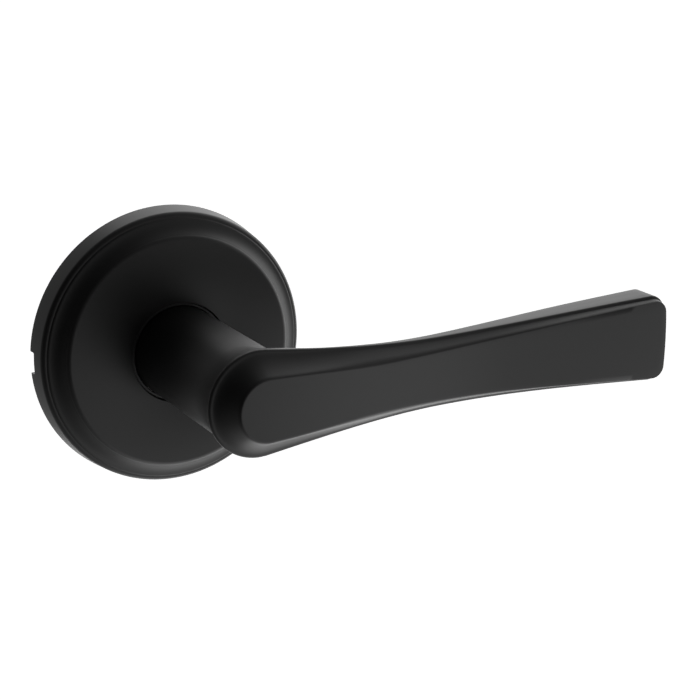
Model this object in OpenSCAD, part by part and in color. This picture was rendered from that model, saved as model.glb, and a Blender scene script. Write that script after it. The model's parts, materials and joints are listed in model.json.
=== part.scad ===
// Exterior trim of a passage lever: handle, round rose and the return-spring chassis behind it.
// Origin: on the turning axis, in the plane of the door face. +X runs along the handle, +Z is up
// and -Y points out of the door. Modules work in an outward frame (x along the handle, y up,
// z out from the door), which outward() turns into the part's own frame.

/* [Handle] */
// Turning axis to the tip
reach = 109.5; // [100:0.1:125]
// Door face to the front of the hub
projection = 59.4; // [56:0.1:64]
// Radius of the round neck
neck_r = 11.25; // [10.8:0.05:11.5]
// Radius of the ridge round the hub
hub_r = 12.35; // [12:0.05:13]
// Radius of the front panel's round end
boss_r = 7.4; // [6.5:0.1:8.5]
// Half height of the handle at its waist
waist_half = 8.32; // [7:0.05:9.5]
// Half height of the handle at its tip
tip_half = 10.84; // [9.5:0.05:12]
// Half height of the front panel at its narrowest
panel_half = 6.05; // [5:0.05:7]
// Half height of the front panel at its tip
panel_tip_half = 10.1; // [9:0.05:10.5]
// Radius of the tip's corners, seen from the front
tip_corner_r = 3.2; // [2:0.1:4]

/* [Rose] */
// Radius of the rose at the door face
rose_r = 34; // [33:0.1:36]
// Height of the rose's flat centre above the door
rose_h = 10; // [9.8:0.1:10.4]
// Radius of the raised flat centre
disc_r = 28; // [26:0.1:28.5]
// Radius of the hole for the neck
rose_hole_r = 12.2; // [12.1:0.05:12.6]
// Width of the pry notch in the rim
notch_w = 5.3; // [4:0.1:6]
// Depth of the pry notch from the door face
notch_d = 2; // [1.5:0.1:3]

/* [Chassis] */
// Thickness of the mounting plate
plate_t = 1.5; // [1.2:0.1:1.6]
// Radius of the mounting plate
plate_r = 31; // [30.5:0.1:31.5]
// Distance between the two threaded posts
post_gap = 38; // [38:0.1:39]
// Length of the threaded posts behind the door face
post_len = 16; // [12:1:18]
// Outside radius of the threaded posts
post_r = 3.5; // [3.3:0.1:3.6]
// Radius of the tapped holes in the posts
tap_r = 2.1; // [1.9:0.05:2.4]
// Inside radius of the spring housing
cage_r = 14.1; // [13.9:0.1:14.3]

/* [Drive] */
// Outside radius of the drive sleeve
sleeve_r = 8.95; // [8.8:0.01:9]
// Width across flats of the square spindle
spindle_w = 8; // [7.6:0.1:8.1]
// Length of the spindle behind the door face
spindle_len = 38; // [30:1:42]
// Wire diameter of the return spring
return_wire = 1.2; // [1:0.05:1.25]

/* [Hidden] */
$fn = 96;
run = 0.06; // radial running clearance of turning fits
slip = 0.03; // radial clearance between pieces that stay together

// Handle: heights out from the door of its ridge, front panel and back, and where each turns
ridge_h = 54;
ridge_low = [64, 51.9];
ridge_tip_h = 54;
panel_low = [64, 54.35];
panel_tip_h = 55.6;
back_h = 52.75;
back_low = [88, 45.4];
back_tip_h = 45.6;
waist_x = 47;
panel_waist_x = 36;
hub_leave_x = 1.9; // where the ridge leaves the round hub
shoulder_x = 16; // where the back of the handle starts to deepen
edge_r = 0.35; // break of the front edges
back_edge_r = 0.8; // break of the back edges
tip_edge_r = 0.35; // break of the end face
cove_power = 1.6; // how hard the cove between ridge and panel steepens
flare_from = 44.5; // where the neck starts to widen into the hub
flare_to = back_h + 0.3; // just inside the hub, so that the two join

// Stack behind the rose, as heights above the door face
plate_back = 0.1; // the rose touches the door, the plate stands just clear of it
edge_t = 1.2; // thickness of the plate's upturned edge
bush_r = 10.6; // outside radius of the bearing bush
neck_end = 8.1;
bore_r = sleeve_r + slip;
bore_end = 36;
key_w = 2.2;
key_d = 0.9;
cam_h = [1.7, 2.9];
finger_h = 6.6;
finger_r = [12.15, 12.95];
lug_r = 13.1;
housing_h = [7, 7.8];
cage_wall = 1;
foot_r = 21;
foot_t = 0.8;
cam_r = 11.9;
stop_turn = 46.5; // turn at which the cam meets its stops
stop_half = 15; // half angle of the cam's stop ear
chamber_r = 6.4;
socket_end = 12;
sleeve_back = 9;
sleeve_front = 33;
tap_deep = 11; // depth of the tapped holes in the posts
rivet_at = 13.4;
rivet_r = 1.5;
rivet_head_r = 2.3;
clip_at = 24; // radius at which the rose clips are riveted
clip_rivet_r = 1.2;
clip_leaf = 0.5; // thickness of the rose clips
clip_w = 6;
ring_back = [2.3, 3.3]; // retaining ring, behind the door face
ring_groove_r = 8.2;
pin_at = 6.3; // spindle pin, behind the door face
pin_r = 1.2;
catch_at = 18; // distance of the catch from the door face
catch_r = 2;
catch_tip = 10.9;
catch_flange = [4.4, 5.2];
coil_r = 10.9;
leg_turn = 10; // half angle between the return spring's legs
neck_ring_at = 27;
neck_ring_r = 0.72;

black = [0.09, 0.09, 0.095];
zinc = [0.72, 0.73, 0.75];
nylon = [0.86, 0.85, 0.8];
steel = [0.5, 0.51, 0.53];

function mix(a, b, t) = a + (b - a) * t;
// Cubic from (x0, v0) to (x1, v1) with the slopes s0 and s1 at its ends
function cubic(x, x0, v0, s0, x1, v1, s1) =
    let (l = x1 - x0, t = (x - x0) / l, t2 = t * t, t3 = t2 * t)
    v0 * (2 * t3 - 3 * t2 + 1) + s0 * l * (t3 - 2 * t2 + t)
        + v1 * (3 * t2 - 2 * t3) + s1 * l * (t3 - t2);
// How far a corner of radius r has drawn in at distance d before the end
function drawn_in(r, d) = d >= r ? 0 : r - sqrt(r * r - (r - d) * (r - d));
function polar(r, a) = [r * cos(a), r * sin(a)];

function half_width(x) = x < hub_leave_x ? sqrt(hub_r * hub_r - x * x)
    : x < waist_x ? cubic(x, hub_leave_x, sqrt(hub_r * hub_r - hub_leave_x * hub_leave_x), -0.14,
        waist_x, waist_half, 0)
    : cubic(x, waist_x, waist_half, 0, reach, tip_half, 0.05);
function panel_width(x) = x < panel_waist_x
    ? cubic(x, 0, boss_r, -0.045, panel_waist_x, panel_half, 0)
    : cubic(x, panel_waist_x, panel_half, 0, reach, panel_tip_half, 0.07);
function ridge_z(x) = x < ridge_low[0]
    ? cubic(x, 0, ridge_h, 0, ridge_low[0], ridge_low[1], 0)
    : cubic(x, ridge_low[0], ridge_low[1], 0, reach, ridge_tip_h, 0.08);
function panel_z(x) = x < panel_low[0]
    ? cubic(x, 0, projection, -0.08, panel_low[0], panel_low[1], 0)
    : cubic(x, panel_low[0], panel_low[1], 0, reach, panel_tip_h, 0.03);
function back_z(x) = x < shoulder_x ? back_h
    : x < back_low[0] ? cubic(x, shoulder_x, back_h, -0.1, back_low[0], back_low[1], 0)
    : cubic(x, back_low[0], back_low[1], 0, reach, back_tip_h, 0.01);

// Upper half of the handle's section at x, from the middle of its back to the middle of its front
function half_section(x) =
    let (side = drawn_in(tip_corner_r, reach - x), end = drawn_in(tip_edge_r, reach - x),
        w = half_width(x) - side, f = panel_width(x) - side,
        r = ridge_z(x) - end, p = panel_z(x) - end, b = back_z(x) + end,
        e = min(back_edge_r, (r - b) * 0.45))
    concat([[0, b], [w - e, b], [w - e * 0.3, b + e * 0.3], [w, b + e], [w, r - edge_r], [w - edge_r, r]],
        [for (t = [0.25:0.25:0.75])
            [mix(w - edge_r, f, t), mix(r, p - edge_r, pow(t, cove_power))]],
        [[f, p - edge_r], [f - edge_r, p], [0, p]]);

module outward() {
    rotate([90, 0, 0]) children();
}

module tube(r_out, r_in, z0, z1) {
    translate([0, 0, z0]) difference() {
        cylinder(r = r_out, h = z1 - z0);
        translate([0, 0, -1]) cylinder(r = r_in, h = z1 - z0 + 2);
    }
}

// Piece of a ring between two angles
module arc_block(r_in, r_out, a0, a1, z0, z1) {
    translate([0, 0, z0]) rotate([0, 0, a0])
        rotate_extrude(angle = a1 - a0) translate([r_in, 0]) square([r_out - r_in, z1 - z0]);
}

// Closed solid through a list of rings with the same number of points
module skin(rings) {
    n = len(rings[0]);
    last = len(rings) - 1;
    polyhedron(points = [for (ring = rings) for (p = ring) p],
        faces = concat([[for (i = [0:n - 1]) i]], [[for (i = [n:-1:1]) last * n + i % n]],
            [for (j = [0:last - 1]) for (i = [0:n - 1]) let (k = (i + 1) % n)
                for (f = [[j * n + i, j * n + n + i, j * n + n + k],
                    [j * n + i, j * n + n + k, j * n + k]]) f]));
}

// Round wire along a path whose direction is never straight out from the door
module wire(path, r, sides = 8) {
    last = len(path) - 1;
    skin([for (i = [0:last])
        let (d = path[min(i + 1, last)] - path[max(i - 1, 0)], t = d / norm(d),
            s = cross(t, [0, 0, 1]), side = s / norm(s), up = cross(side, t))
        [for (k = [0:sides - 1]) path[i] + r * (side * cos(k * 360 / sides) + up * sin(k * 360 / sides))]]);
}

// Keys on the inside of a part that turns with the drive sleeve
module keys(z0, z1) {
    for (s = [-1, 1]) translate([s * (bore_r - key_d / 2 + 0.1), 0, (z0 + z1) / 2])
        cube([key_d, key_w - 2 * slip, z1 - z0], center = true);
}

module lever_arm() {
    ends = [for (d = [5, 3.2, 2.4, 1.6, 0.9, 0.4, 0.1, 0]) reach - d];
    xs = concat([0, 1, hub_leave_x, 4], [for (x = [8:4:reach - 8]) x], ends);
    skin([for (x = xs) let (half = half_section(x), n = len(half))
        concat([for (p = half) [x, p[0], p[1]]], [for (i = [n - 2:-1:1]) [x, -half[i][0], half[i][1]]])]);
}

module lever() {
    flare = [for (t = [0:0.125:1])
        [mix(neck_r, hub_r - 0.2, t * t), mix(flare_from, flare_to, t)]];
    color(black) outward() {
        difference() {
            union() {
                rotate_extrude() polygon(concat([[0, neck_end], [neck_r, neck_end]], flare, [[0, flare_to]]));
                rotate([0, 0, 90]) rotate_extrude(angle = 180) polygon(half_section(0));
                lever_arm();
            }
            translate([0, 0, neck_end - 1]) cylinder(r = bore_r, h = bore_end - neck_end + 1);
            translate([0, 0, catch_at]) rotate([90, 0, 0]) cylinder(r = catch_r + run, h = neck_r + 2);
        }
        keys(neck_end, neck_ring_at - 2);
    }
}

module rosette() {
    shoulder_r = 1.5;
    shoulder = [for (a = [0:15:60]) [rose_r - 0.6 - shoulder_r, 5.05] + polar(shoulder_r, a)];
    cove = [for (t = [0:0.125:1]) [mix(31.3, disc_r + 0.65, t), mix(6.95, 9.05, pow(t, 1.9))]];
    outer = concat([[rose_r, 0]], shoulder, [[32.1, 6.5], [31.95, 6.8]], cove,
        [[disc_r + 0.4, 9.45], [disc_r + 0.15, rose_h - 0.2], [disc_r - 0.25, rose_h]]);
    inner = [[rose_hole_r, 8.9], [26.9, 8.9], [27.9, 7.9], [29.4, 6.2], [31.4, 5.6], [32.5, 4.6], [32.6, 0]];
    color(black) outward() difference() {
        rotate_extrude() polygon(concat(outer,
            [[rose_hole_r + 0.15, rose_h], [rose_hole_r, rose_h - 0.15]], inner));
        translate([-rose_r, 0, 0]) cube([6, notch_w, 2 * notch_d], center = true);
    }
}

module rose_bushing() {
    color(black) outward() rotate_extrude() polygon([[neck_r + run, 8], [13.8, 8], [13.8, 8.87],
        [rose_hole_r - slip, 8.87], [rose_hole_r - slip, 9.3], [rose_hole_r - 0.3, 9.5], [neck_r + run, 9.5]]);
}

module clip_places() {
    for (a = [30, 150, 270]) rotate([0, 0, a]) children();
}

module rivet_places() {
    for (x = [-rivet_at, rivet_at], y = [-rivet_at, rivet_at]) translate([x, y, 0]) children();
}

module post_places() {
    for (x = [-post_gap / 2, post_gap / 2]) translate([x, 0, 0]) children();
}

module mounting_plate() {
    color(zinc) outward() difference() {
        union() {
            translate([0, 0, plate_back]) cylinder(r = plate_r, h = plate_t - plate_back);
            tube(plate_r, plate_r - edge_t, plate_back, 4);
        }
        translate([0, 0, -1]) cylinder(r = bush_r + slip, h = plate_t + 2);
        post_places() translate([0, 0, -1]) cylinder(r = post_r + slip, h = plate_t + 2);
        rivet_places() translate([0, 0, -1]) cylinder(r = rivet_r + slip, h = plate_t + 2);
        clip_places() {
            translate([clip_at, 0, -1]) cylinder(r = clip_rivet_r + slip, h = plate_t + 2);
            translate([plate_r, 0, 4]) cube([6, clip_w + 2, 5], center = true);
        }
        for (a = [90, 210, 330]) rotate([0, 0, a])
            translate([clip_at, 0, -1]) cylinder(r = 2.5, h = plate_t + 2);
    }
}

module bearing_bush() {
    color(nylon) outward() rotate_extrude() polygon([[sleeve_r + run, plate_back], [bush_r, plate_back],
        [bush_r, plate_t], [sleeve_r + run, plate_t]]);
}

module spring_housing() {
    color(steel) outward() difference() {
        union() {
            tube(cage_r + cage_wall, cage_r, plate_t, housing_h[1]);
            tube(cage_r + cage_wall, sleeve_r + run, housing_h[0], housing_h[1]);
            tube(foot_r, cage_r, plate_t, plate_t + foot_t);
            arc_block(lug_r, cage_r + 0.2, 90 - leg_turn + 4, 90 + leg_turn - 4, cam_h[0] + 1.3, housing_h[1]);
            for (s = [-1, 1]) let (a = -90 + s * (stop_turn + stop_half + 5))
                arc_block(lug_r, cage_r + 0.2, a - 5, a + 5, plate_t, cam_h[1] + 0.2);
        }
        post_places() translate([0, 0, plate_t - 1]) cylinder(r = 3.9, h = 3);
        rivet_places() translate([0, 0, plate_t - 1]) cylinder(r = rivet_r + slip, h = 3);
    }
}

module rivet(shank_r, head_r, seat, head) {
    cylinder(r = shank_r, h = seat + 0.1);
    translate([0, 0, seat]) rotate_extrude() polygon(concat([[0, 0]],
        [for (a = [0:15:90]) [head_r * cos(a), 0.2 + head * sin(a)]]));
}

module housing_rivets() {
    color(zinc) outward() rivet_places() rivet(rivet_r, rivet_head_r, plate_t + foot_t, 0.9);
}

module threaded_posts() {
    color(zinc) outward() post_places() difference() {
        union() {
            translate([0, 0, -post_len]) cylinder(r = post_r, h = post_len + plate_t);
            translate([0, 0, plate_t]) cylinder(r = post_r + 0.3, h = 1);
        }
        translate([0, 0, -post_len - 1]) cylinder(r = tap_r, h = tap_deep + 1);
    }
}

module rose_clips() {
    side = [[21.6, plate_t], [31.4, plate_t], [31.6, 2.2], [32.45, 3.6], [31.9, 4.8], [31.4, 4.8],
        [31.85, 3.6], [31.1, 2.3], [30.9, plate_t + clip_leaf], [21.6, plate_t + clip_leaf]];
    color(steel) outward() clip_places() difference() {
        rotate([90, 0, 0]) linear_extrude(height = clip_w, center = true) polygon(side);
        translate([clip_at, 0, 0]) cylinder(r = clip_rivet_r + slip, h = 3);
    }
}

module clip_rivets() {
    color(zinc) outward() clip_places() translate([clip_at, 0, 0])
        rivet(clip_rivet_r, 2, plate_t + clip_leaf, 0.8);
}

module return_spring() {
    low = cam_h[1] + 0.2 + return_wire / 2;
    high = housing_h[0] - 0.2 - return_wire / 2;
    turn = 720 - 2 * leg_turn;
    steps = 44;
    leg = [13.9, 12.5, 11.6];
    path = concat([for (r = leg) concat(polar(r, 90 + leg_turn), low)],
        [for (i = [0:steps]) concat(polar(coil_r, 94 + leg_turn + (turn - 8) * i / steps),
            mix(low, high, i / steps))],
        [for (k = [2:-1:0]) concat(polar(leg[k], 90 - leg_turn), high)]);
    color(steel) outward() wire(path, return_wire / 2);
}

// Cross hole for the spindle pin
module pin_hole() {
    translate([0, 0, -pin_at]) rotate([90, 0, 0]) cylinder(r = pin_r + slip, h = 30, center = true);
}

module drive_sleeve() {
    color(zinc) outward() difference() {
        translate([0, 0, -sleeve_back]) cylinder(r = sleeve_r, h = sleeve_back + sleeve_front);
        translate([0, 0, socket_end]) cylinder(r = chamber_r, h = sleeve_front);
        cube([spindle_w + 0.2, spindle_w + 0.2, 4 * sleeve_back], center = true);
        for (s = [-1, 1]) translate([s * sleeve_r, 0, cam_h[0] - 0.1 + sleeve_front / 2])
            cube([2 * key_d, key_w, sleeve_front], center = true);
        tube(sleeve_r + 1, ring_groove_r, -ring_back[1] - 0.05, -ring_back[0] + 0.05);
        tube(sleeve_r + 1, sleeve_r - 2 * neck_ring_r - 0.08, neck_ring_at - 1, neck_ring_at + 1);
        pin_hole();
        translate([0, 0, catch_at]) rotate([90, 0, 0]) cylinder(r = catch_r + run, h = sleeve_r + 2);
    }
}

module drive_cam() {
    color(zinc) outward() {
        tube(cam_r, bore_r, cam_h[0], cam_h[1]);
        keys(cam_h[0], cam_h[1]);
        arc_block(cam_r - 0.5, finger_r[1], 90 - leg_turn + 4, 90 + leg_turn - 4, cam_h[0], cam_h[1]);
        arc_block(finger_r[0], finger_r[1], 90 - leg_turn + 4, 90 + leg_turn - 4, cam_h[0], finger_h);
        arc_block(cam_r - 0.5, cage_r - 0.2, -90 - stop_half, -90 + stop_half, cam_h[0], cam_h[1]);
    }
}

module neck_ring() {
    color(black) outward() rotate_extrude() translate([sleeve_r - neck_ring_r - 0.01, neck_ring_at])
        circle(r = neck_ring_r);
}

module spindle() {
    top = socket_end - 0.5;
    color(zinc) outward() difference() {
        intersection() {
            translate([-spindle_w / 2, -spindle_w / 2, -spindle_len])
                cube([spindle_w, spindle_w, spindle_len + top]);
            rotate_extrude() polygon([[0, -spindle_len], [0.575 * spindle_w, -spindle_len],
                [0.675 * spindle_w, 2.5 - spindle_len], [0.675 * spindle_w, top], [0, top]]);
        }
        pin_hole();
    }
}

module spindle_pin() {
    color(steel) outward() translate([0, 0, -pin_at]) rotate([90, 0, 0])
        cylinder(r = pin_r, h = 2 * sleeve_r - 0.7, center = true);
}

module thrust_washer() {
    color(nylon) outward() tube(13, sleeve_r + 0.1, -0.85, -0.05);
}

module wave_washer() {
    rows = 48;
    t = 0.35;
    function lift(a) = -1.6 + 0.4 * sin(3 * a);
    color(steel) outward() polyhedron(
        points = [for (i = [0:rows - 1]) let (a = i * 360 / rows)
            for (q = [[9.15, -t], [12, -t], [12, t], [9.15, t]]) concat(polar(q[0], a), lift(a) + q[1] / 2)],
        faces = [for (i = [0:rows - 1]) for (k = [0:3])
            let (j = (i + 1) % rows, m = (k + 1) % 4)
            for (f = [[4 * i + k, 4 * j + m, 4 * j + k], [4 * i + k, 4 * i + m, 4 * j + m]]) f]);
}

module retaining_ring() {
    color(steel) outward() difference() {
        tube(11.2, ring_groove_r + slip, -ring_back[1], -ring_back[0]);
        translate([0, -10, -3]) cube([5, 8, 4], center = true);
    }
}

module lever_catch() {
    color(zinc) outward() translate([0, 0, catch_at]) rotate([90, 0, 0]) {
        translate([0, 0, catch_flange[0]]) cylinder(r = 2.8, h = catch_flange[1] - catch_flange[0]);
        translate([0, 0, 1]) cylinder(r = 1.1, h = catch_flange[0]);
        cylinder(r = 1.1, h = 1.5);
        translate([0, 0, catch_flange[1] - 0.1]) cylinder(r = catch_r, h = catch_tip - catch_flange[1] - 0.3);
        translate([0, 0, catch_tip - 0.4]) cylinder(r1 = catch_r, r2 = catch_r - 0.4, h = 0.4);
    }
}

module catch_spring() {
    w = 0.25;
    turns = 6;
    steps = turns * 12;
    color(steel) outward() translate([0, 0, catch_at]) rotate([90, 0, 0])
        wire([for (i = [0:steps]) concat(polar(1.5, i * 30),
            mix(catch_flange[0] - w - 0.05, -chamber_r + w + 0.25, i / steps))], w, 6);
}

lever();
rosette();
rose_bushing();
mounting_plate();
bearing_bush();
spring_housing();
housing_rivets();
threaded_posts();
rose_clips();
clip_rivets();
return_spring();
drive_sleeve();
drive_cam();
neck_ring();
spindle();
spindle_pin();
thrust_washer();
wave_washer();
retaining_ring();
lever_catch();
catch_spring();
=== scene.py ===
"""Looks of a passage lever: the handle, its stepped rose and the sprung chassis behind it."""

import json
import math

import bmesh
import bpy
from mathutils import Matrix, Vector


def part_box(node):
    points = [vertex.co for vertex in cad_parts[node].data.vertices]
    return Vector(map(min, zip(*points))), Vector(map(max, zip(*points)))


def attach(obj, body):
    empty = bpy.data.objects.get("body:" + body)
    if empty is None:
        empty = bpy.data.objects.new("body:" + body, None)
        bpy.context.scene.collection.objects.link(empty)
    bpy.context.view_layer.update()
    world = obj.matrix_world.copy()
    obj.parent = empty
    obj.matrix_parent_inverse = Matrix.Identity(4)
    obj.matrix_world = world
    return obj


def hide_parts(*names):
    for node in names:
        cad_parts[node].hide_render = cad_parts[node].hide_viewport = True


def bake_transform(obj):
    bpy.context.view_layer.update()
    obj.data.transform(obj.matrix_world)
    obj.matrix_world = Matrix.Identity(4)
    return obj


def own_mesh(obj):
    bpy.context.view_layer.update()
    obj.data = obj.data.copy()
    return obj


bl_info = {
    "name": "Passage Lever",
    "version": (1, 0, 0),
    "blender": (4, 5, 0),
    "location": "View3D > Sidebar > Passage Lever",
    "description": "Builds a door lever, its rose and the return-spring chassis behind it",
    "category": "Add Mesh",
}

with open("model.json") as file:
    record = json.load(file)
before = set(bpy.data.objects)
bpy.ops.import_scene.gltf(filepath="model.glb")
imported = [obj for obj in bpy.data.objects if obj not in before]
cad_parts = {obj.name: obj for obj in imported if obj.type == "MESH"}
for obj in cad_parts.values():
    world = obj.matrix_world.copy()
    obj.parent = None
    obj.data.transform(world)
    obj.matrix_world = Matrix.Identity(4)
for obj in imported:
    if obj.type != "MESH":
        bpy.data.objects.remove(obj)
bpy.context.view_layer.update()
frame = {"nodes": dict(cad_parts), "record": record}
MM = 0.001
# Shapes are worked out in millimetres in an outward frame: x along the handle, y up, z out from the door.
OUTWARD = Matrix.Rotation(math.pi / 2, 4, "X") @ Matrix.Scale(MM, 4)
RUNNING_FIT = 0.06  # radial clearance of turning and sliding fits, in millimetres


# ---------------------------------------------------------------- sizes and colours


def mm_span(node, axis):
    """Lowest and highest coordinate of a CAD node along an axis, in millimetres."""
    low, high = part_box(node)
    return low[axis] / MM, high[axis] / MM


class HandleSizes(bpy.types.PropertyGroup):
    """Driving sizes of the handle, in millimetres"""

    reach: bpy.props.FloatProperty(
        name="Reach", description="Turning axis to the tip, in millimetres", default=mm_span("lever", 0)[1])
    projection: bpy.props.FloatProperty(
        name="Projection", description="Door face to the front of the hub, in millimetres",
        default=-mm_span("lever", 1)[0])
    neck_end: bpy.props.FloatProperty(
        name="Neck end", description="Door face to the neck's inner end, in millimetres",
        default=-mm_span("lever", 1)[1])
    neck_radius: bpy.props.FloatProperty(name="Neck radius", description="In millimetres", default=11.25)
    hub_radius: bpy.props.FloatProperty(
        name="Hub radius", description="Radius of the ridge round the hub, in millimetres", default=12.4)
    boss_radius: bpy.props.FloatProperty(
        name="Boss radius", description="Radius of the front panel's round end, in millimetres", default=7.4)
    waist: bpy.props.FloatProperty(
        name="Waist", description="Half height of the handle at its waist, in millimetres", default=8.38)
    tip: bpy.props.FloatProperty(
        name="Tip", description="Half height of the handle at its tip, in millimetres", default=10.9)
    panel_waist: bpy.props.FloatProperty(
        name="Panel waist", description="Half height of the front panel at its narrowest, in millimetres",
        default=6.05)
    panel_tip: bpy.props.FloatProperty(
        name="Panel tip", description="Half height of the front panel at its tip, in millimetres",
        default=10.1)


class RoseSizes(bpy.types.PropertyGroup):
    """Driving sizes of the rose, in millimetres"""

    radius: bpy.props.FloatProperty(
        name="Radius", description="Radius at the door face, in millimetres",
        default=mm_span("rosette", 2)[1])
    height: bpy.props.FloatProperty(
        name="Height", description="Door face to the flat centre, in millimetres",
        default=-mm_span("rosette", 1)[0])
    disc_radius: bpy.props.FloatProperty(
        name="Disc radius", description="Radius of the raised centre, in millimetres", default=28.0)
    hole_radius: bpy.props.FloatProperty(
        name="Hole radius", description="Radius of the hole for the neck, in millimetres", default=12.2)
    notch_width: bpy.props.FloatProperty(
        name="Notch width", description="Width of the pry notch, in millimetres", default=5.3)
    notch_depth: bpy.props.FloatProperty(
        name="Notch depth", description="Depth of the pry notch from the door face, in millimetres",
        default=2.0)


class FinishColours(bpy.types.PropertyGroup):
    """Colours of the finishes"""

    powder: bpy.props.FloatVectorProperty(
        name="Powder coat", description="Colour of the black powder coat", subtype="COLOR",
        default=(0.0016, 0.0016, 0.0017))
    floor: bpy.props.FloatVectorProperty(
        name="Floor", description="Colour of the studio floor", subtype="COLOR", default=(0.97, 0.97, 0.97))


# ---------------------------------------------------------------- shader maths


class Val:
    """A shader socket that takes part in Python arithmetic by adding Math nodes."""

    def __init__(self, tree, socket):
        self.tree = tree
        self.socket = socket

    def math(self, operation, other):
        return self.tree.add("ShaderNodeMath", {"operation": operation}, {0: self, 1: other})

    def __add__(self, other):
        return self.math("ADD", other)

    def __radd__(self, other):
        return self.math("ADD", other)

    def __mul__(self, other):
        return self.math("MULTIPLY", other)

    def __rmul__(self, other):
        return self.math("MULTIPLY", other)

    def over(self, low, high):
        """0 below low, 1 above high and smooth between."""
        settings = {"interpolation_type": "SMOOTHSTEP"}
        return self.tree.add("ShaderNodeMapRange", settings, {0: self, 1: low, 2: high}, "Result")


class Finish:
    """A node material that is built up one node at a time."""

    def __init__(self, name):
        self.material = bpy.data.materials.new(name)
        self.material.use_nodes = True
        self.nodes = self.material.node_tree.nodes
        self.links = self.material.node_tree.links
        self.nodes.clear()
        self.shader = self.nodes.new("ShaderNodeBsdfPrincipled")
        output = self.nodes.new("ShaderNodeOutputMaterial")
        self.links.new(self.shader.outputs[0], output.inputs["Surface"])
        self.place = self.add("ShaderNodeTexCoord", {}, {}, "Object")

    def add(self, kind, settings, inputs, output=0):
        """Adds a node: its settings first, then the values or links of its sockets."""
        node = self.nodes.new(kind)
        for key, value in settings.items():
            setattr(node, key, value)
        for key, value in inputs.items():
            self.feed(node.inputs[key], value)
        return Val(self, node.outputs[output])

    def feed(self, socket, value):
        """Links a value to a socket, or sets it when it is a constant."""
        if isinstance(value, Val):
            self.links.new(value.socket, socket)
        else:
            socket.default_value = value

    def put(self, **inputs):
        """Feeds the Principled shader; underscores in the names stand for spaces."""
        for key, value in inputs.items():
            self.feed(self.shader.inputs[key.replace("_", " ")], value)

    def noise(self, per_mm, detail, stretch=(1, 1, 1)):
        """Noise with about per_mm features in a millimetre, stretched along an axis where asked."""
        where = self.add("ShaderNodeMapping", {}, {"Vector": self.place, "Scale": stretch}, "Vector")
        inputs = {"Vector": where, "Scale": per_mm / MM, "Detail": detail}
        return self.add("ShaderNodeTexNoise", {}, inputs, "Fac")

    def blend(self, share, first, second):
        """Colour that runs from first to second as share goes from 0 to 1."""
        node = self.nodes.new("ShaderNodeMix")
        node.data_type = "RGBA"
        sockets = {s.identifier: s for s in node.inputs}
        for identifier, value in (("Factor_Float", share), ("A_Color", first), ("B_Color", second)):
            self.feed(sockets[identifier], value)
        return Val(self, next(s for s in node.outputs if s.identifier == "Result_Color"))

    def bump(self, height, depth_mm):
        """Raises the surface by height, with depth_mm between its lowest and highest."""
        inputs = {"Height": height, "Distance": depth_mm * MM, "Strength": 1.0}
        self.put(Normal=self.add("ShaderNodeBump", {}, inputs))


def rgba(colour, gain):
    """Colour made lighter or darker by gain, with its alpha."""
    return (*(min(1.0, c * gain) for c in tuple(colour)[:3]), 1.0)


def powder_coat(colour):
    """Fine satin black powder coat: very dark, with a faint orange peel and even finer grain."""
    f = Finish("powder_coat")
    peel = f.noise(0.9, 1.0)
    grain = f.noise(7.0, 2.0)
    cloud = f.noise(0.06, 2.0)
    f.put(Base_Color=f.blend(grain.over(0.35, 0.75), rgba(colour, 0.8), rgba(colour, 1.35)),
          Roughness=0.39 + 0.05 * cloud + 0.04 * grain, IOR=1.47)
    f.bump(0.6 * peel + 0.4 * grain, 0.006)
    return f.material


def moulded_nylon(name, colour):
    """Moulded plastic with a slight mould texture."""
    f = Finish(name)
    grain = f.noise(4.0, 3.0)
    f.put(Base_Color=f.blend(grain, rgba(colour, 0.92), rgba(colour, 1.06)), Roughness=0.5 + 0.12 * grain)
    f.bump(grain, 0.008)
    return f.material


def zinc_plate():
    """Bright zinc plate: pale metal with a cool and warm cloudiness and fine rolling marks."""
    f = Finish("zinc_plate")
    cloud = f.noise(0.12, 3.0)
    rolled = f.noise(1.6, 3.0, stretch=(1, 1, 0.06))
    f.put(Base_Color=f.blend(cloud.over(0.35, 0.65), (0.4, 0.42, 0.44, 1), (0.46, 0.45, 0.4, 1)),
          Metallic=1.0, Roughness=0.26 + 0.14 * rolled)
    f.bump(rolled, 0.004)
    return f.material


def drawn_steel(name, colour, roughness=0.3):
    """Plain steel with fine drawing marks along the turning axis."""
    f = Finish(name)
    marks = f.noise(3.0, 3.0, stretch=(1, 0.05, 1))
    cloud = f.noise(0.2, 2.0)
    f.put(Base_Color=f.blend(cloud, rgba(colour, 0.85), rgba(colour, 1.1)), Metallic=1.0,
          Roughness=roughness + 0.12 * marks)
    f.bump(marks, 0.004)
    return f.material


def soft_rubber():
    """Soft black rubber with a dull grain."""
    f = Finish("soft_rubber")
    grain = f.noise(3.0, 2.0)
    f.put(Base_Color=f.blend(grain, (0.012, 0.012, 0.012, 1), (0.02, 0.02, 0.02, 1)),
          Roughness=0.62 + 0.1 * grain)
    f.bump(grain, 0.01)
    return f.material


# ---------------------------------------------------------------- mesh helpers


# Edges that bend by more than this are kept sharp, in degrees
TURNED_CREASE = 32
CAST_CREASE = 50
STAMPED_CREASE = 20


def mix(a, b, t):
    """The value at share t of the way from a to b."""
    return a + (b - a) * t


def smooth(t):
    """0 below 0, 1 above 1 and an S curve between."""
    t = min(1.0, max(0.0, t))
    return t * t * (3 - 2 * t)


def cubic(x, x0, v0, s0, x1, v1, s1):
    """Cubic from (x0, v0) to (x1, v1) with the slopes s0 and s1 at its ends."""
    length = x1 - x0
    t = (x - x0) / length
    return (v0 * (2 * t**3 - 3 * t**2 + 1) + s0 * length * (t**3 - 2 * t**2 + t)
            + v1 * (3 * t**2 - 2 * t**3) + s1 * length * (t**3 - t**2))


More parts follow.
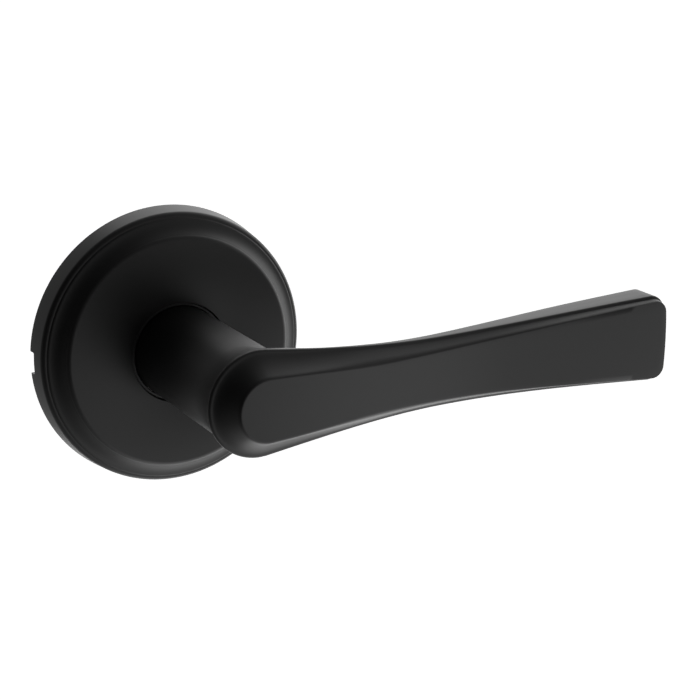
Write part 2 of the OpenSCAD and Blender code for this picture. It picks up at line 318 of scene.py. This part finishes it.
def arc(cx, cz, radius, start, end, steps):
    """Points of an arc in a profile; angles in degrees, 0 pointing outwards."""
    turns = [math.radians(mix(start, end, k / steps)) for k in range(steps + 1)]
    return [(cx + radius * math.cos(a), cz + radius * math.sin(a)) for a in turns]


def crease(mesh, degrees):
    """Smooth shading, with the edges that bend by more than degrees kept sharp."""
    mesh.shade_smooth()
    mesh.set_sharp_from_angle(angle=math.radians(degrees))


def to_object(bm, name, material, crease_deg=TURNED_CREASE):
    """Turns a bmesh in outward millimetres into an object in the frame."""
    bm.transform(OUTWARD)
    mesh = bpy.data.meshes.new(name)
    bm.to_mesh(mesh)
    bm.free()
    crease(mesh, crease_deg)
    mesh.materials.append(material)
    piece = bpy.data.objects.new(name, mesh)
    bpy.context.scene.collection.objects.link(piece)
    return piece


def lathe(profile, steps):
    """Bmesh of a closed profile of (radius, height) points turned about the axis."""
    bm = bmesh.new()
    ring = [bm.verts.new((r, 0, z)) for r, z in profile]
    edges = [bm.edges.new((ring[k], ring[(k + 1) % len(ring)])) for k in range(len(ring))]
    bmesh.ops.spin(bm, geom=ring + edges, cent=(0, 0, 0), axis=(0, 0, 1), angle=2 * math.pi, steps=steps,
                   use_merge=True)
    bmesh.ops.remove_doubles(bm, verts=bm.verts, dist=1e-4)
    bmesh.ops.recalc_face_normals(bm, faces=bm.faces)
    return bm


def cut(piece, cutter, crease_deg):
    """Cuts the bmesh cutter, in outward millimetres, out of a piece."""
    tool = to_object(cutter, "cutter", piece.data.materials[0])
    modifier = piece.modifiers.new("cut", "BOOLEAN")
    modifier.solver = "EXACT"
    modifier.object = tool
    mesh = bpy.data.meshes.new_from_object(piece.evaluated_get(bpy.context.evaluated_depsgraph_get()))
    piece.modifiers.clear()
    old, name = piece.data, piece.data.name
    piece.data = mesh
    bpy.data.meshes.remove(old)
    mesh.name = name
    bpy.data.meshes.remove(tool.data)
    crease(mesh, crease_deg)


def settle(piece, body, node):
    """Puts a piece on its body and hides the CAD node it stands for."""
    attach(piece, body)
    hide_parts(node)


# ---------------------------------------------------------------- handle


class HandleShape:
    """The handle as rows of closed outlines, from the neck's bore to the middle of the front panel.

    An outline starts above the hub, runs round its left side, along the underside of the handle,
    round the tip and back along the top."""

    HUB, SIDE, CORNER, END = 56, 72, 9, 8  # steps along the hub, each side, each tip corner and the tip
    CORNER_R = 3.2  # tip corners seen from the front
    BULGE = 0.45  # how far the tip bows out
    # heights above the door: at the hub, at the lowest place (x, height) and at the tip
    RIDGE_H, RIDGE_LOW, RIDGE_TIP_H = 54.0, (64, 51.9), 54.0
    PANEL_LOW, PANEL_TIP_H = (64, 54.35), 55.6
    BACK_H, BACK_LOW, BACK_TIP_H = 52.75, (88, 45.4), 45.6
    BACK_X = 16  # where the back starts to deepen
    WAIST_X, PANEL_WAIST_X = 47.0, 36.0  # narrowest places of the outline and of the front panel
    HUB_LEAVE_X = 1.9  # where the outline leaves the round hub
    FILLET = 5.0  # radius between the neck and the back of the handle
    FLARE_FROM = 44.5  # height at which the neck starts to widen into the hub
    FLARE_RUN = 13.0  # how far along the handle that widening runs out
    BACK_EDGE = 0.8  # radius of the back edges
    RIDGE_EDGE = 0.6  # radius of the ridge
    RIDGE_STEPS, COVE_STEPS, PANEL_STEPS = 5, 24, 7
    END_INSET, END_RAKE = 0.15, 0.2  # how far the tip's face leans in over the ridge and over the cove
    OVER_PANEL = 1.3  # how far the cove's rows run on over the panel, as a share of the cove
    COVE_POWER = (1.75, 1.15)  # hollowness of the cove, at the hub and along the handle
    COVE_BLEND = (0.09, 0.34)  # how softly the cove meets the panel, at the hub and along the handle
    TIP_BLEND = 0.3  # more softness towards the tip
    BORE_R, BORE_END = 8.98, 36  # bore for the drive sleeve
    NECK_HEIGHTS = (14, 20, 26, 32, 38, 42)

    def __init__(self, sizes):
        self.s = sizes
        self.length = self.HUB + 2 * self.SIDE + 2 * self.CORNER + self.END

    def half_width(self, x):
        """Half height of the outline, seen from the front."""
        s = self.s
        if x <= self.HUB_LEAVE_X:
            return math.sqrt(max(0.0, s.hub_radius**2 - x * x))
        if x < self.WAIST_X:
            start = math.sqrt(s.hub_radius**2 - self.HUB_LEAVE_X**2)
            return cubic(x, self.HUB_LEAVE_X, start, -0.14, self.WAIST_X, s.waist, 0)
        return cubic(x, self.WAIST_X, s.waist, 0, s.reach, s.tip, 0.05)

    def panel_width(self, x):
        """Half height of the front panel."""
        s = self.s
        if x < self.PANEL_WAIST_X:
            return cubic(max(x, 0), 0, s.boss_radius, -0.045, self.PANEL_WAIST_X, s.panel_waist, 0)
        return cubic(x, self.PANEL_WAIST_X, s.panel_waist, 0, s.reach, s.panel_tip, 0.07)

    def ridge(self, x):
        """Height of the ridge round the front above the door."""
        if x < self.RIDGE_LOW[0]:
            return cubic(max(x, 0), 0, self.RIDGE_H, 0, *self.RIDGE_LOW, 0)
        return cubic(x, *self.RIDGE_LOW, 0, self.s.reach, self.RIDGE_TIP_H, 0.08)

    def panel(self, x):
        """Height of the front panel above the door."""
        if x < self.PANEL_LOW[0]:
            start = -self.s.boss_radius
            return cubic(max(x, start), start, self.s.projection, 0, *self.PANEL_LOW, 0)
        return cubic(x, *self.PANEL_LOW, 0, self.s.reach, self.PANEL_TIP_H, 0.03)

    def back(self, x):
        """Height of the back of the handle above the door."""
        if x < self.BACK_LOW[0]:
            return cubic(max(x, self.BACK_X), self.BACK_X, self.BACK_H, -0.1, *self.BACK_LOW, 0)
        return cubic(x, *self.BACK_LOW, 0, self.s.reach, self.BACK_TIP_H, 0.01)

    def back_edge(self, x):
        """Radius of the back edges, less where the side wall is low."""
        return min(self.BACK_EDGE, 0.5 * (self.ridge(x) - self.RIDGE_EDGE - self.back(x)))

    def spot(self, i, width, hub, inset):
        """Point i of an outline from its half width, hub radius and inset at the tip, seen from the front."""
        i %= self.length
        if i <= self.HUB:
            a = math.pi / 2 + math.pi * i / self.HUB
            return hub * math.cos(a), hub * math.sin(a)
        i -= self.HUB
        below = i <= self.length - self.HUB - i
        if not below:
            i = self.length - self.HUB - i
        sign = -1 if below else 1
        corner = self.CORNER_R - inset
        stop = self.s.reach - self.BULGE - self.CORNER_R
        half = width(stop) - corner
        if i <= self.SIDE:
            x = stop * i / self.SIDE
            return x, sign * width(x)
        i -= self.SIDE
        if i <= self.CORNER:
            a = math.pi / 2 * i / self.CORNER
            y = half + corner * math.cos(a)
            return stop + corner * math.sin(a) + self.bow(y, half + corner), sign * y
        y = half * (1 - (i - self.CORNER) / (self.END / 2))
        return stop + corner + self.bow(y, half + corner), sign * y

    def bow(self, y, half):
        """How far the tip bows out at y."""
        return self.BULGE * (1 - (y / half) ** 2)

    def circle(self, i, radius):
        """Point i of a round outline: evenly round the hub's left side, and evenly over the rest."""
        i %= self.length
        if i <= self.HUB:
            a = math.pi / 2 + math.pi * i / self.HUB
        else:
            a = 1.5 * math.pi + math.pi * (i - self.HUB) / (self.length - self.HUB)
        return radius * math.cos(a), radius * math.sin(a)

    def ring(self, radius, height):
        """Row on a circle."""
        return [(*self.circle(i, radius), height) for i in range(self.length)]

    def back_height(self, x, y):
        """Height of the handle's back, with the fillet round the neck."""
        gap = max(0.0, math.hypot(x, y) - self.s.neck_radius)
        drop = 0.0
        if gap < self.FILLET:
            drop = self.FILLET - math.sqrt(self.FILLET**2 - (self.FILLET - gap) ** 2)
        return self.back(x) - drop

    def under_rows(self):
        """Rows from the neck over the back of the handle and up its side, to just under the ridge."""
        fan, turn, wall = 20, 6, 3
        total = fan + turn + wall
        rows = []
        for k in range(total + 1):
            flare = k / total
            row = []
            for i in range(self.length):
                ox, oy = self.spot(i, self.half_width, self.s.hub_radius, 0)
                e = self.back_edge(ox)
                ix, iy = self.spot(i, lambda v: self.half_width(v) - e, self.s.hub_radius - e, e)
                cx, cy = self.circle(i, self.s.neck_radius)
                if k <= fan:
                    t = (k / fan) ** 2.4
                    x, y = mix(cx, ix, t), mix(cy, iy, t)
                    h = self.back_height(x, y)
                else:
                    edge = self.back_height(ix, iy)
                    a = math.pi / 2 * min(1.0, (k - fan) / turn)
                    x, y = mix(ix, ox, math.sin(a)), mix(iy, oy, math.sin(a))
                    h = edge + e * (1 - math.cos(a))
                    if k > fan + turn:
                        h = mix(h, self.ridge(ox) - self.RIDGE_EDGE, (k - fan - turn) / wall)
                        x, y = ox, oy
                # round the hub the neck flares straight into the ridge
                scale = flare * flare
                fx, fy = mix(cx, ox, scale), mix(cy, oy, scale)
                if ox < 0.5:
                    length = math.hypot(ox, oy)
                    radius = mix(self.s.neck_radius, length, scale)
                    fx, fy = ox / length * radius, oy / length * radius
                fh = mix(self.FLARE_FROM, self.ridge(ox) - self.RIDGE_EDGE, flare)
                share = smooth(ox / self.FLARE_RUN)
                row.append((mix(fx, x, share), mix(fy, y, share), mix(fh, h, share)))
            rows.append(row)
        return rows

    def front_rows(self):
        """Rows over the ridge's rounded edge, up the cove and on to the edge of the front panel."""
        rows = []
        e = self.RIDGE_EDGE
        for k in range(1, self.RIDGE_STEPS + 1):
            a = math.pi / 2 * k / self.RIDGE_STEPS
            inward = 1 - math.cos(a)
            rows.append(self.front_row(e * inward, 0, e * (math.sin(a) - 1), self.END_INSET * inward))
        for k in range(1, self.COVE_STEPS + 1):
            t = self.OVER_PANEL * k / self.COVE_STEPS
            rows.append(self.front_row(e, t, 0, self.END_INSET + self.END_RAKE * t))
        return rows

    def front_row(self, inset, t, lift, end_inset):
        """Row at share t of the way from the ridge (0) to the panel (1), or past 1 on the panel itself."""
        hub = mix(self.s.hub_radius - inset, self.s.boss_radius, t)
        row = []

        def width(v):
            return mix(self.half_width(v) - inset, self.panel_width(v), t)

        for i in range(self.length):
            x, y = self.spot(i, width, hub, end_inset)
            along = smooth((x - 4) / 26)
            soft = mix(*self.COVE_BLEND, along) + self.TIP_BLEND * smooth((x - 80) / 29)
            rise = t ** mix(*self.COVE_POWER, along)
            if rise > 1 - soft:
                rise = 1.0 if rise > 1 + soft else rise - (rise - 1 + soft) ** 2 / (4 * soft)
            row.append((x, y, mix(self.ridge(x), self.panel(x), rise) + lift))
        return row

    def panel_rows(self, rim):
        """Rows from the rim of the front panel in to its middle line."""
        rows = []
        stop = self.s.reach - 2 * self.CORNER_R
        for k in range(1, self.PANEL_STEPS + 1):
            q = 1 - k / self.PANEL_STEPS
            row = []
            for x, y, _ in rim:
                spine = min(max(x, 0.0), stop)
                px, py = mix(spine, x, q), y * q
                row.append((px, py, self.panel(px)))
            rows.append(row)
        return rows

    def neck_rows(self):
        """Rows of the bore, the neck's rounded end and the neck itself."""
        s = self.s
        bore, chamfer, edge = self.BORE_R, 0.4, 0.5
        inner = [(0, self.BORE_END), (bore, self.BORE_END), (bore, s.neck_end + chamfer)]
        inner += [(bore + chamfer, s.neck_end)]
        outer = arc(s.neck_radius - edge, s.neck_end + edge, edge, -90, 0, 4)
        climb = [(s.neck_radius, h) for h in self.NECK_HEIGHTS]
        return [self.ring(r, h) for r, h in inner + outer + climb]

    def rows(self):
        """All rows, from the bottom of the bore to the middle of the front panel."""
        front = self.front_rows()
        return self.neck_rows() + self.under_rows() + front + self.panel_rows(front[-1])


def skin(rows):
    """Closed skin over rows of points: a grid wrapped round, with its seam and its poles welded."""
    around, along = len(rows[0]), len(rows) - 1
    bm = bmesh.new()
    bmesh.ops.create_grid(bm, x_segments=around, y_segments=along, size=0.5)
    for v in bm.verts:
        i = round((v.co.x + 0.5) * around) % around
        j = round((v.co.y + 0.5) * along)
        v.co = rows[j][i]
    bmesh.ops.remove_doubles(bm, verts=bm.verts, dist=1e-3)
    bmesh.ops.dissolve_degenerate(bm, edges=bm.edges, dist=1e-4)
    bmesh.ops.recalc_face_normals(bm, faces=bm.faces)
    return bm


def catch_hole(neck_radius):
    """Cutter for the hole under the neck that the lever catch sits in."""
    back, front = mm_span("lever_catch", 1)
    radius = (front - back) / 2 + RUNNING_FIT
    place = Matrix.Translation((0, -neck_radius, -(back + front) / 2))
    place = place @ Matrix.Rotation(math.pi / 2, 4, "X")
    hole = bmesh.new()
    bmesh.ops.create_cone(hole, cap_ends=True, segments=48, radius1=radius, radius2=radius, depth=8,
                          matrix=place)
    return hole


class LEVER_OT_handle(bpy.types.Operator):
    """Cast handle with its neck"""

    bl_idname = "passage_lever.handle"
    bl_label = "Handle"

    def execute(self, context):
        shape = HandleShape(context.scene.lever_handle)
        coat = powder_coat(context.scene.lever_colours.powder)
        piece = to_object(skin(shape.rows()), "lever_casting", coat, CAST_CREASE)
        cut(piece, catch_hole(shape.s.neck_radius), CAST_CREASE)
        settle(piece, "handle", "lever")
        return {"FINISHED"}


# ---------------------------------------------------------------- rose


def rose_profile(s):
    """Closed profile of the rose's shell, from the door face up the outside and back down the inside."""
    side = [(s.radius - 0.1, 0), (s.radius, 0.15)]
    shoulder = arc(s.radius - 2.1, 5.05, 1.5, 6, 62, 10)
    groove = [(32.42, 6.4), (32.2, 6.42), (32.1, 6.5), (32.0, 6.66), (31.85, 6.76), (31.6, 6.8)]
    cove = [(mix(31.3, s.disc_radius + 0.62, t), mix(6.87, 9.05, 0.35 * t + 0.65 * t**2.3))
            for t in [k / 16 for k in range(17)]]
    step = arc(s.disc_radius - 0.7, s.height - 1.25, 1.25, 22, 90, 12)
    hole = arc(s.hole_radius + 0.15, s.height - 0.15, 0.15, 90, 180, 4)
    inner = [(s.hole_radius, 8.9), (26.9, 8.9), (27.9, 7.9), (29.4, 6.2), (31.4, 5.6), (32.5, 4.6), (32.6, 0)]
    return side + shoulder + groove + cove + step + hole + inner


def pry_notch(s):
    """Cutter for the notch in the rose's back edge, with rounded long edges."""
    notch = bmesh.new()
    bmesh.ops.create_cube(notch, size=1)
    bmesh.ops.scale(notch, vec=(6, s.notch_width, 2 * s.notch_depth), verts=notch.verts)
    bmesh.ops.translate(notch, vec=(-s.radius, 0, 0), verts=notch.verts)
    long_edges = [e for e in notch.edges if abs(e.verts[0].co.x - e.verts[1].co.x) > 1]
    bmesh.ops.bevel(notch, geom=long_edges, affect="EDGES", offset=0.45, segments=4, profile=0.5, material=-1)
    return notch


def bushing_profile(neck_radius, hole_radius):
    """Closed profile of the ring between the neck and the rose, a little below the rose's face."""
    low, high = 8.0, -mm_span("rose_bushing", 1)[0] - 0.2
    flange, flange_top, edge = 13.8, 8.87, 0.25
    neck, hole = neck_radius + RUNNING_FIT, hole_radius - 0.03
    ring = [(neck, low), (flange, low), (flange, flange_top), (hole, flange_top)]
    ring += arc(hole - edge, high - edge, edge, 0, 90, 4)
    return ring + arc(neck + edge, high - edge, edge, 90, 180, 4)


class LEVER_OT_rose(bpy.types.Operator):
    """Round stepped rose, its pry notch and the bushing in its hole"""

    bl_idname = "passage_lever.rose"
    bl_label = "Rose"

    def execute(self, context):
        s = context.scene.lever_rose
        coat = powder_coat(context.scene.lever_colours.powder)
        piece = to_object(lathe(rose_profile(s), 256), "rose_shell", coat)
        cut(piece, pry_notch(s), TURNED_CREASE)
        settle(piece, "rose", "rosette")
        ring = lathe(bushing_profile(context.scene.lever_handle.neck_radius, s.hole_radius), 160)
        black = moulded_nylon("black_nylon", (0.004, 0.004, 0.004))
        bushing = to_object(ring, "rose_bushing_ring", black)
        settle(bushing, "rose", "rose_bushing")
        return {"FINISHED"}


# ---------------------------------------------------------------- chassis


def softened(name, width, material):
    """Copy of a CAD node with its sharp edges broken by width millimetres."""
    bm = bmesh.new()
    bm.from_mesh(frame["nodes"][name].data)
    bm.transform(OUTWARD.inverted())
    bmesh.ops.remove_doubles(bm, verts=bm.verts, dist=1e-3)
    bmesh.ops.dissolve_limit(bm, angle_limit=math.radians(1), verts=bm.verts, edges=bm.edges)
    bmesh.ops.recalc_face_normals(bm, faces=bm.faces)
    if width:
        limit = math.radians(40)
        sharp = [e for e in bm.edges if len(e.link_faces) == 2 and e.calc_face_angle() > limit]
        bmesh.ops.bevel(bm, geom=sharp, affect="EDGES", offset=width, segments=2, profile=0.5, material=-1,
                        clamp_overlap=True)
    return to_object(bm, name + "_piece", material, STAMPED_CREASE)


# CAD node: how far its sharp edges are broken, in millimetres
CHASSIS = {
    "mounting_plate": 0.2, "bearing_bush": 0.15, "spring_housing": 0.12, "housing_rivets": 0,
    "threaded_posts": 0.3, "rose_clips": 0.1, "clip_rivets": 0, "drive_sleeve": 0.2, "drive_cam": 0.15,
    "neck_ring": 0, "spindle": 0.25, "spindle_pin": 0.25, "thrust_washer": 0.15, "wave_washer": 0,
    "retaining_ring": 0.15, "lever_catch": 0.15,
}


class LEVER_OT_chassis(bpy.types.Operator):
    """Plate, cage, sleeve, spindle and the other pieces behind the rose"""

    bl_idname = "passage_lever.chassis"
    bl_label = "Chassis"

    def execute(self, context):
        finishes = {
            "zinc_plate": zinc_plate(),
            "white_nylon": moulded_nylon("white_nylon", (0.78, 0.76, 0.7)),
            "bare_steel": drawn_steel("bare_steel", (0.55, 0.55, 0.55)),
            "spring_steel": drawn_steel("spring_steel", (0.4, 0.4, 0.41)),
            "blued_steel": drawn_steel("blued_steel", (0.1, 0.11, 0.13), 0.38),
            "rubber_black": soft_rubber(),
        }
        record = frame["record"]
        slots = {part["node"]: part["material_slot"] for part in record["subparts"]}
        for body, members in record["behaviour"]["bodies"].items():
            for node in members:
                if node in CHASSIS:
                    piece = softened(node, CHASSIS[node], finishes[slots[node]])
                    settle(piece, body, node)
        steel = finishes["spring_steel"]
        spring = to_object(wire(return_path(), 0.6), "return_spring_wire", steel)
        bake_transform(spring)
        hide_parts("return_spring")
        coil = to_object(wire(catch_path(), 0.25, axis=(0, 1, 0)), "catch_spring_wire", steel)
        settle(coil, "handle", "catch_spring")
        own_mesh(coil)
        return {"FINISHED"}


def wire(path, radius, axis=(0, 0, 1), sides=14):
    """Round wire along a path of points that coils about axis, closed at both ends."""
    points = [Vector(p) for p in path]
    rows = [[points[0]] * sides]
    for k, here in enumerate(points):
        along = (points[min(k + 1, len(points) - 1)] - points[max(k - 1, 0)]).normalized()
        side = along.cross(Vector(axis)).normalized()
        up = side.cross(along)
        turns = [2 * math.pi * i / sides for i in range(sides)]
        rows.append([here + radius * (side * math.cos(a) + up * math.sin(a)) for a in turns])
    rows.append([points[-1]] * sides)
    return skin(rows)


def polar(radius, degrees, height):
    """Point at an angle about the turning axis."""
    a = math.radians(degrees)
    return radius * math.cos(a), radius * math.sin(a), height


def return_path():
    """Two turns between a leg on each side of the top."""
    low, high, coil, steps = 3.7, 6.2, 10.9, 180
    legs = (13.9, 13.2, 12.5, 11.9, 11.4)
    path = [polar(r, 100 + 0.6 * k, low) for k, r in enumerate(legs)]
    path += [polar(coil, 104 + 692 * i / steps, mix(low, high, i / steps)) for i in range(steps + 1)]
    return path + [polar(r, 80 - 0.6 * k, high) for k, r in reversed(list(enumerate(legs)))]


def catch_path():
    """Six turns along the catch, from its flange to the far wall of the sleeve."""
    turns, radius, low, high, out, steps = 6, 1.5, -4.1, 5.9, 18, 216
    path = []
    for i in range(steps + 1):
        a = math.radians(360 * turns * i / steps)
        path.append((radius * math.cos(a), mix(low, high, i / steps), out + radius * math.sin(a)))
    return path


# ---------------------------------------------------------------- stage


CAMERA_AZIMUTH, CAMERA_ELEVATION = -28.35, 16.96  # degrees, round to the left and up
CAMERA_DISTANCE, CAMERA_RIGHT, CAMERA_UP = 0.450, 0.04516, -0.00194
CAMERA_LENS = 95.2
FLOOR_Z, FLOOR_HALF, FLOOR_GLOW = -0.12, 8, 0.62

# Levels of the surround: how far a direction points to a side, from 0 to 1, and the level there.
DARK_SIDE = (-0.3, -0.62, 0.72)  # the unlit part of the studio, in front, above and a little to the left
DARK_STEPS = ((0.0, 1.0), (0.0, 0.8), (0.12, 0.55), (0.22, 0.32), (0.4, 0.24), (0.8, 0.18))
LEFT_SIDE = (-1, 0, 0)
LEFT_STEPS = ((0.0, 1.0), (0.0, 0.45), (0.05, 0.26), (0.4, 0.31), (0.72, 0.1))
STUDIO_STRENGTH = 1.8


def studio_world(scene):
    """White surround, darker in front and above, where nothing is lit, and on the left."""
    world = bpy.data.worlds.new("studio")
    world.use_nodes = True
    scene.world = world
    nodes, links = world.node_tree.nodes, world.node_tree.links
    place = nodes.new("ShaderNodeTexCoord")
    levels = []
    for direction, steps in ((DARK_SIDE, DARK_STEPS), (LEFT_SIDE, LEFT_STEPS)):
        dot = nodes.new("ShaderNodeVectorMath")
        dot.operation = "DOT_PRODUCT"
        dot.inputs[1].default_value = Vector(direction).normalized()
        links.new(place.outputs["Generated"], dot.inputs[0])
        ramp = nodes.new("ShaderNodeValToRGB")
        ramp.color_ramp.interpolation = "EASE"
        elements = ramp.color_ramp.elements
        while len(elements) < len(steps):
            elements.new(0.5)
        for element, (position, level) in zip(elements, steps):
            element.position = position
            element.color = (level, level, level, 1)
        links.new(dot.outputs["Value"], ramp.inputs[0])
        levels.append(ramp.outputs[0])
    product = nodes.new("ShaderNodeVectorMath")
    product.operation = "MULTIPLY"
    for socket, level in zip(product.inputs, levels):
        links.new(level, socket)
    links.new(product.outputs[0], nodes["Background"].inputs["Color"])
    nodes["Background"].inputs["Strength"].default_value = STUDIO_STRENGTH


class LEVER_OT_stage(bpy.types.Operator):
    """Pale floor, soft light and the camera"""

    bl_idname = "passage_lever.stage"
    bl_label = "Stage"

    def execute(self, context):
        scene = context.scene
        scene.view_settings.view_transform = "Standard"
        studio_world(scene)
        bm = bmesh.new()
        bmesh.ops.create_grid(bm, x_segments=1, y_segments=1, size=FLOOR_HALF)
        bmesh.ops.translate(bm, vec=(0, 0, FLOOR_Z), verts=bm.verts)
        mesh = bpy.data.meshes.new("floor")
        bm.to_mesh(mesh)
        bm.free()
        paint = Finish("floor_paint")
        grain = paint.noise(0.02, 2.0)
        colour = scene.lever_colours.floor
        paint.put(Base_Color=paint.blend(grain, rgba(colour, 0.995), rgba(colour, 1.005)), Roughness=0.9,
                  Emission_Color=(1, 1, 1, 1), Emission_Strength=FLOOR_GLOW)
        mesh.materials.append(paint.material)
        floor = bpy.data.objects.new("floor", mesh)
        floor.visible_glossy = False
        scene.collection.objects.link(floor)
        azimuth, elevation = math.radians(CAMERA_AZIMUTH), math.radians(CAMERA_ELEVATION)
        back = Vector((math.sin(azimuth) * math.cos(elevation), -math.cos(azimuth) * math.cos(elevation),
                       math.sin(elevation)))
        right = Vector((math.cos(azimuth), math.sin(azimuth), 0))
        up = back.cross(right)
        camera = bpy.data.objects.new("camera", bpy.data.cameras.new("camera"))
        camera.data.lens = CAMERA_LENS
        camera.location = back * CAMERA_DISTANCE + right * CAMERA_RIGHT + up * CAMERA_UP
        camera.rotation_euler = back.to_track_quat("Z", "Y").to_euler()
        scene.collection.objects.link(camera)
        scene.camera = camera
        return {"FINISHED"}


# ---------------------------------------------------------------- add-on


class LEVER_PT_panel(bpy.types.Panel):
    """Lists the steps that build the lever"""

    bl_idname = "LEVER_PT_panel"
    bl_label = "Passage Lever"
    bl_space_type = "VIEW_3D"
    bl_region_type = "UI"
    bl_category = "Passage Lever"

    def draw(self, context):
        for name in GROUPS:
            group = getattr(context.scene, name)
            for key in group.__annotations__:
                self.layout.prop(group, key)
        for operator in OPERATORS:
            self.layout.operator(operator.bl_idname)


GROUPS = {"lever_handle": HandleSizes, "lever_rose": RoseSizes, "lever_colours": FinishColours}
OPERATORS = (LEVER_OT_stage, LEVER_OT_handle, LEVER_OT_rose, LEVER_OT_chassis)
CLASSES = (*GROUPS.values(), *OPERATORS, LEVER_PT_panel)


def register():
    for cls in CLASSES:
        bpy.utils.register_class(cls)
    for name, group in GROUPS.items():
        setattr(bpy.types.Scene, name, bpy.props.PointerProperty(type=group))


def unregister():
    for name in GROUPS:
        delattr(bpy.types.Scene, name)
    for cls in reversed(CLASSES):
        bpy.utils.unregister_class(cls)


def main():
    register()
    for operator in OPERATORS:
        group, name = operator.bl_idname.split(".")
        getattr(getattr(bpy.ops, group), name)()


if __name__ == "__main__":
    main()
